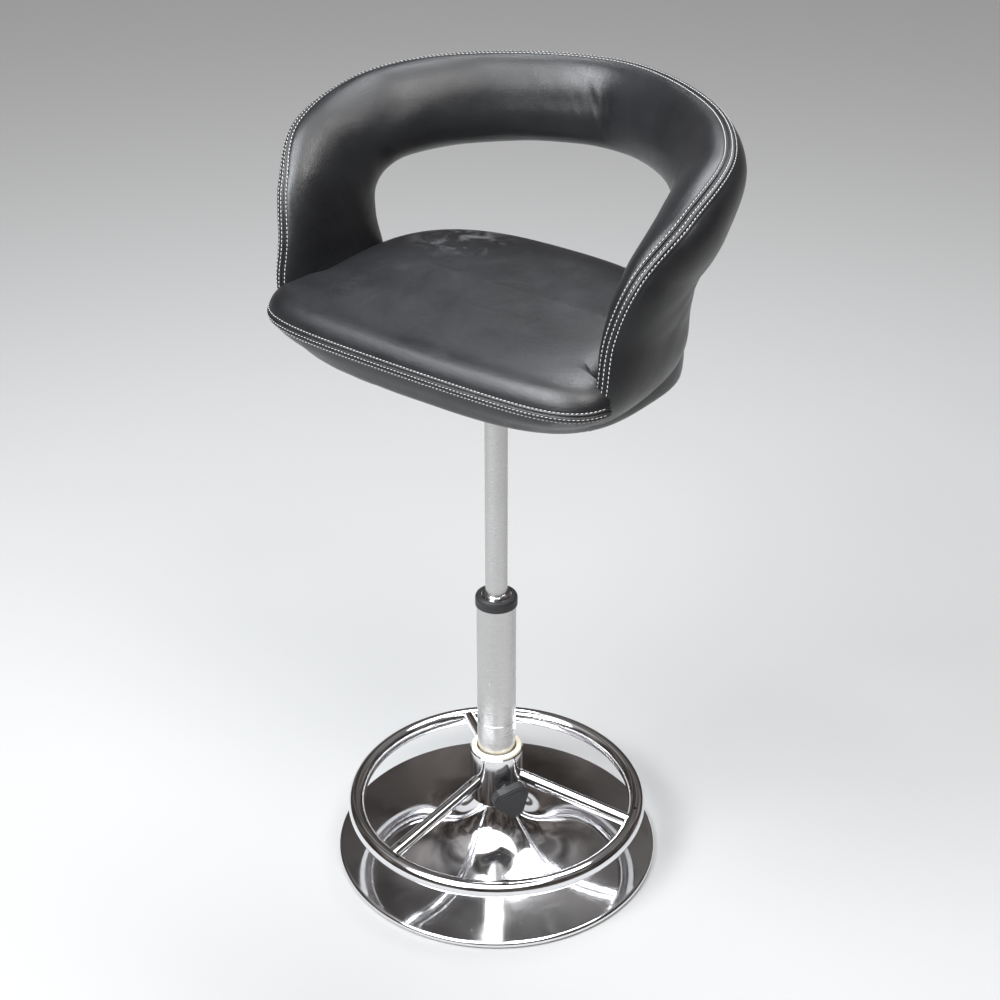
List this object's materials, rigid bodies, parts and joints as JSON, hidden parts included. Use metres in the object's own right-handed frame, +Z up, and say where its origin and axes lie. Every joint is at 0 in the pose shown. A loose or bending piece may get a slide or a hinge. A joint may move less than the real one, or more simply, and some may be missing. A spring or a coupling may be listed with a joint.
{
  "type": "swivel counter stool",
  "caption": "Gas-lift counter stool with a trumpet base, a clamped spoked foot ring and a padded seat with a wrap-around loop back.",
  "frame": {"origin": "on the column's axis, on the floor under the base", "axes": "+Z up along the column; the seat faces -Y; +X is the sitter's left"},
  "size_m": [0.5766, 0.4638, 1.011],
  "materials": {
    "chrome": "polished",
    "satin_chrome": "satin",
    "raw_steel": "matte",
    "bearing_steel": "satin",
    "spring_steel": "satin",
    "black_paint": "satin",
    "brass": "satin",
    "rubber": "matte",
    "black_plastic": "satin",
    "cream_nylon": "satin",
    "plywood": "matte",
    "black_liner": "matte",
    "pad_foam": "matte",
    "black_leather": "satin"
  },
  "bodies": {
    "base": {"floor_pad": "pad_foam", "ballast_plate": "raw_steel", "base_cover": "chrome", "stem_socket": "raw_steel", "column_tube": "satin_chrome", "column_floor": "raw_steel", "guide_bush": "black_plastic", "wiper_ring": "chrome", "lower_race": "bearing_steel", "ball_cage": "brass"},
    "piston": {"rod_clip": "spring_steel", "piston_rod": "bearing_steel", "piston_head": "raw_steel", "piston_seal": "rubber", "upper_race": "bearing_steel", "rubber_bumper": "rubber"},
    "seat": {"pressure_tube": "satin_chrome", "rod_gland": "raw_steel", "rod_seal": "rubber", "taper_socket": "black_paint", "mounting_plate": "black_paint", "plate_bolts": "spring_steel", "plate_washers": "bearing_steel", "lever_bracket": "black_paint", "lever_pin": "bearing_steel", "seat_board": "plywood", "underside_cover": "black_liner", "board_nuts": "bearing_steel", "back_frame": "black_paint", "frame_brackets": "black_paint", "bracket_screws": "bearing_steel", "seat_cushion": "black_leather", "loop_back": "black_leather"},
    "lever": {"gas_lever": "bearing_steel", "lever_grip": "black_plastic"},
    "valve": {"valve_pin": "brass"},
    "ring_slider": {"lower_bush": "cream_nylon", "upper_bush": "cream_nylon"},
    "footring": {"ring_hub": "chrome", "ring_spokes": "chrome", "foot_ring": "chrome", "clamp_boss": "chrome"},
    "clamp": {"clamp_pad": "cream_nylon"},
    "knob": {"clamp_stud": "bearing_steel", "clamp_knob": "black_plastic"}
  },
  "joints": [
    {"name": "seat_swivel", "type": "hinge", "parent": "base", "child": "piston", "pos_m": [0, 0, 0.03], "axis": [0, 0, 1], "continuous": true},
    {"name": "seat_height", "type": "slide", "parent": "piston", "child": "seat", "axis": [0, 0, 1], "range_m": [-0.24, 0]},
    {"name": "gas_lever_lift", "type": "hinge", "parent": "seat", "child": "lever", "pos_m": [-0.038, 0, 0.706], "axis": [0, 1, 0], "range_deg": [0, 4.5], "stiffness_Nm_per_rad": 2, "springref_deg": -2.86},
    {"name": "valve_press", "type": "slide", "parent": "seat", "child": "valve", "axis": [0, 0, -1], "range_m": [0, 0.003], "stiffness_N_per_m": 800},
    {"name": "footring_height", "type": "slide", "parent": "base", "child": "ring_slider", "axis": [0, 0, 1], "range_m": [0, 0.18]},
    {"name": "footring_swivel", "type": "hinge", "parent": "ring_slider", "child": "footring", "pos_m": [0, 0, 0.12], "axis": [0, 0, 1], "continuous": true},
    {"name": "clamp_travel", "type": "slide", "parent": "footring", "child": "clamp", "axis": [0.8572, -0.515, 0], "range_m": [0, 0.0025]},
    {"name": "knob_turn", "type": "hinge", "parent": "clamp", "child": "knob", "pos_m": [0.04286, -0.02575, 0.108], "axis": [0.8572, -0.515, 0], "range_deg": [0, 720]}
  ],
  "couplings": [
    {"joint": "valve_press", "follows": "gas_lever_lift", "m_per_rad": 0.038},
    {"joint": "clamp_travel", "follows": "knob_turn", "m_per_rad": 0.000198}
  ]
}
